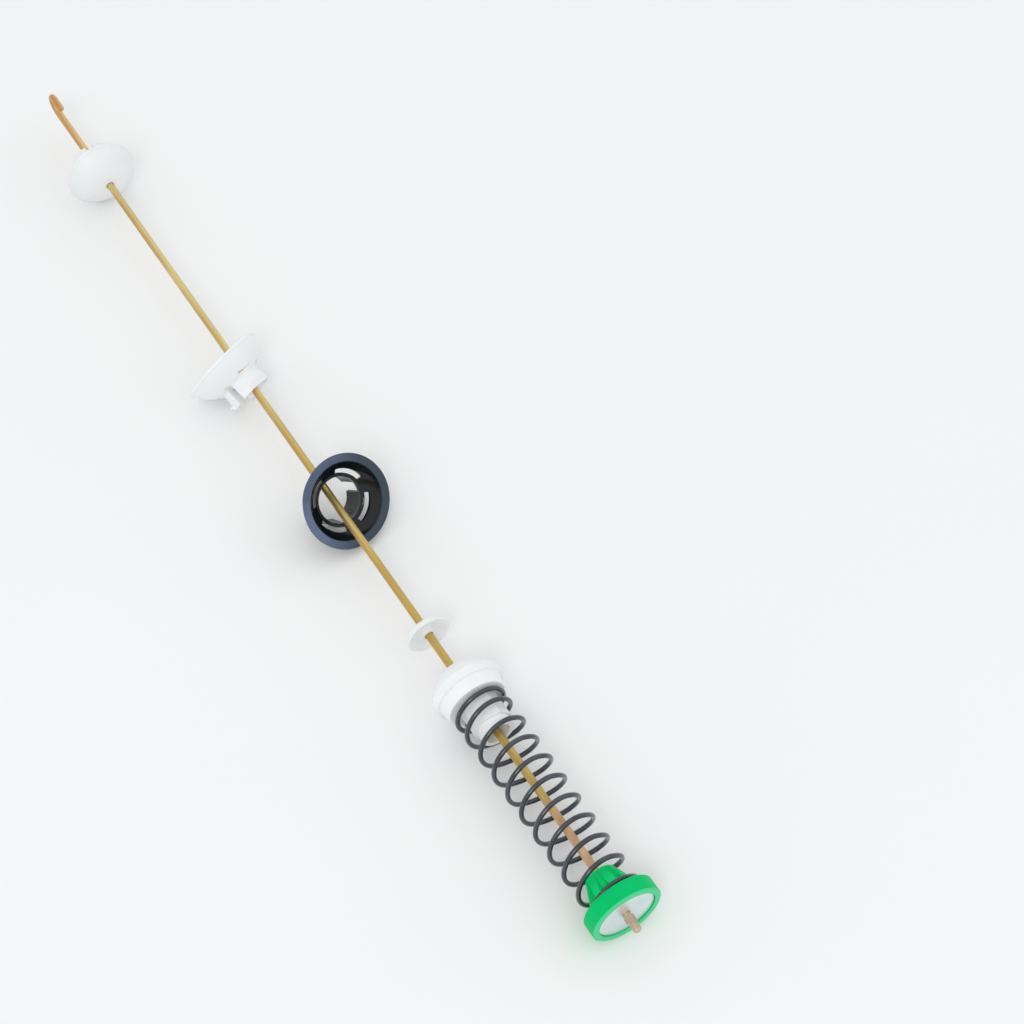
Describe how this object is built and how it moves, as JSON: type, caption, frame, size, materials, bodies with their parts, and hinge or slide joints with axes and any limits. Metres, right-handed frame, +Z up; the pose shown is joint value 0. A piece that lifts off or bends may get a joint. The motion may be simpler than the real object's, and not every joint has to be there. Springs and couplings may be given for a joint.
{
  "type": "washing machine suspension rod",
  "caption": "Hooked steel suspension rod with a ball and two snap-in cups sliding on it, and a coil spring held between a domed slider and a finned end seat.",
  "frame": {"origin": "centre of the bounding box's bottom face, on the floor that the part lies on", "axes": "+X along the rod from the hook to the staked tip, +Z up from the floor"},
  "size_m": [0.6894, 0.0644, 0.0477],
  "materials": {
    "plated_wire": "yellow zinc plating",
    "milky_plastic": "satin, slightly see-through",
    "white_plastic": "semi-gloss",
    "slider_plastic": "semi-gloss",
    "black_plastic": "gloss",
    "spring_wire": "dark oiled spring steel",
    "green_plastic": "semi-gloss",
    "washer_steel": "satin zinc plating"
  },
  "bodies": {
    "rod": {"rod": "plated_wire", "spring": "spring_wire", "spring_seat": "green_plastic", "washer": "washer_steel"},
    "ball": {"upper_ball": "milky_plastic"},
    "upper_cup": {"upper_cup": "white_plastic"},
    "lower_cup": {"lower_cup": "black_plastic"},
    "bead": {"bead": "milky_plastic"},
    "slider": {"slider": "slider_plastic"}
  },
  "joints": [
    {"name": "ball_slide", "type": "slide", "parent": "rod", "child": "ball", "axis": [1, 0, -0.0045], "range_m": [-0.0575, 0.158]},
    {"name": "upper_cup_slide", "type": "slide", "parent": "rod", "child": "upper_cup", "axis": [1, 0, -0.0045], "range_m": [-0.158, 0.07]},
    {"name": "lower_cup_slide", "type": "slide", "parent": "rod", "child": "lower_cup", "axis": [1, 0, -0.0045], "range_m": [-0.07, 0.07]},
    {"name": "bead_slide", "type": "slide", "parent": "rod", "child": "bead", "axis": [1, 0, -0.0045], "range_m": [-0.07, 0.024]},
    {"name": "slider_slide", "type": "slide", "parent": "rod", "child": "slider", "axis": [1, 0, -0.0045], "range_m": [0, 0.085], "stiffness_N_per_m": 1000, "deforming": ["spring"]}
  ]
}
